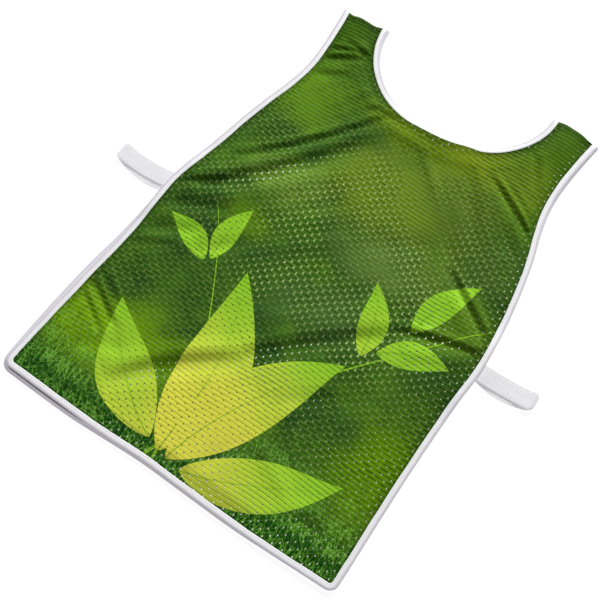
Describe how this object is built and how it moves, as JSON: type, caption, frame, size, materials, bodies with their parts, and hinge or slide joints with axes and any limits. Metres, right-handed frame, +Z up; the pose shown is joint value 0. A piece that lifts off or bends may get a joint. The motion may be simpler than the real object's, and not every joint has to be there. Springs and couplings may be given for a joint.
{
  "type": "caddy bib",
  "caption": "Sleeveless over-the-head bib laid flat: front and back mesh panels joined at the shoulders, tape-bound edges and side elastics.",
  "frame": {"origin": "middle of the whole laid bib, on the surface that it lies on", "axes": "+Y from the hem to the neck, +X to the viewer's right with the neck away from the viewer, +Z up out of the front"},
  "size_m": [0.6528, 0.7165, 0.0109],
  "materials": {
    "mesh_cloth": "printed polyester eyelet mesh, soft sheen",
    "binding_tape": "white woven polyester binding, matt",
    "elastic": "white ribbed elastic, matt"
  },
  "bodies": {
    "root": {"front_panel": "mesh_cloth", "back_panel": "mesh_cloth", "left_tape_front": "binding_tape", "hem_tape_front": "binding_tape", "right_tape_front": "binding_tape", "neck_tape_front": "binding_tape", "left_tape_back": "binding_tape", "hem_tape_back": "binding_tape", "right_tape_back": "binding_tape", "neck_tape_back": "binding_tape", "elastic_left": "elastic", "elastic_right": "elastic"}
  },
  "joints": []
}
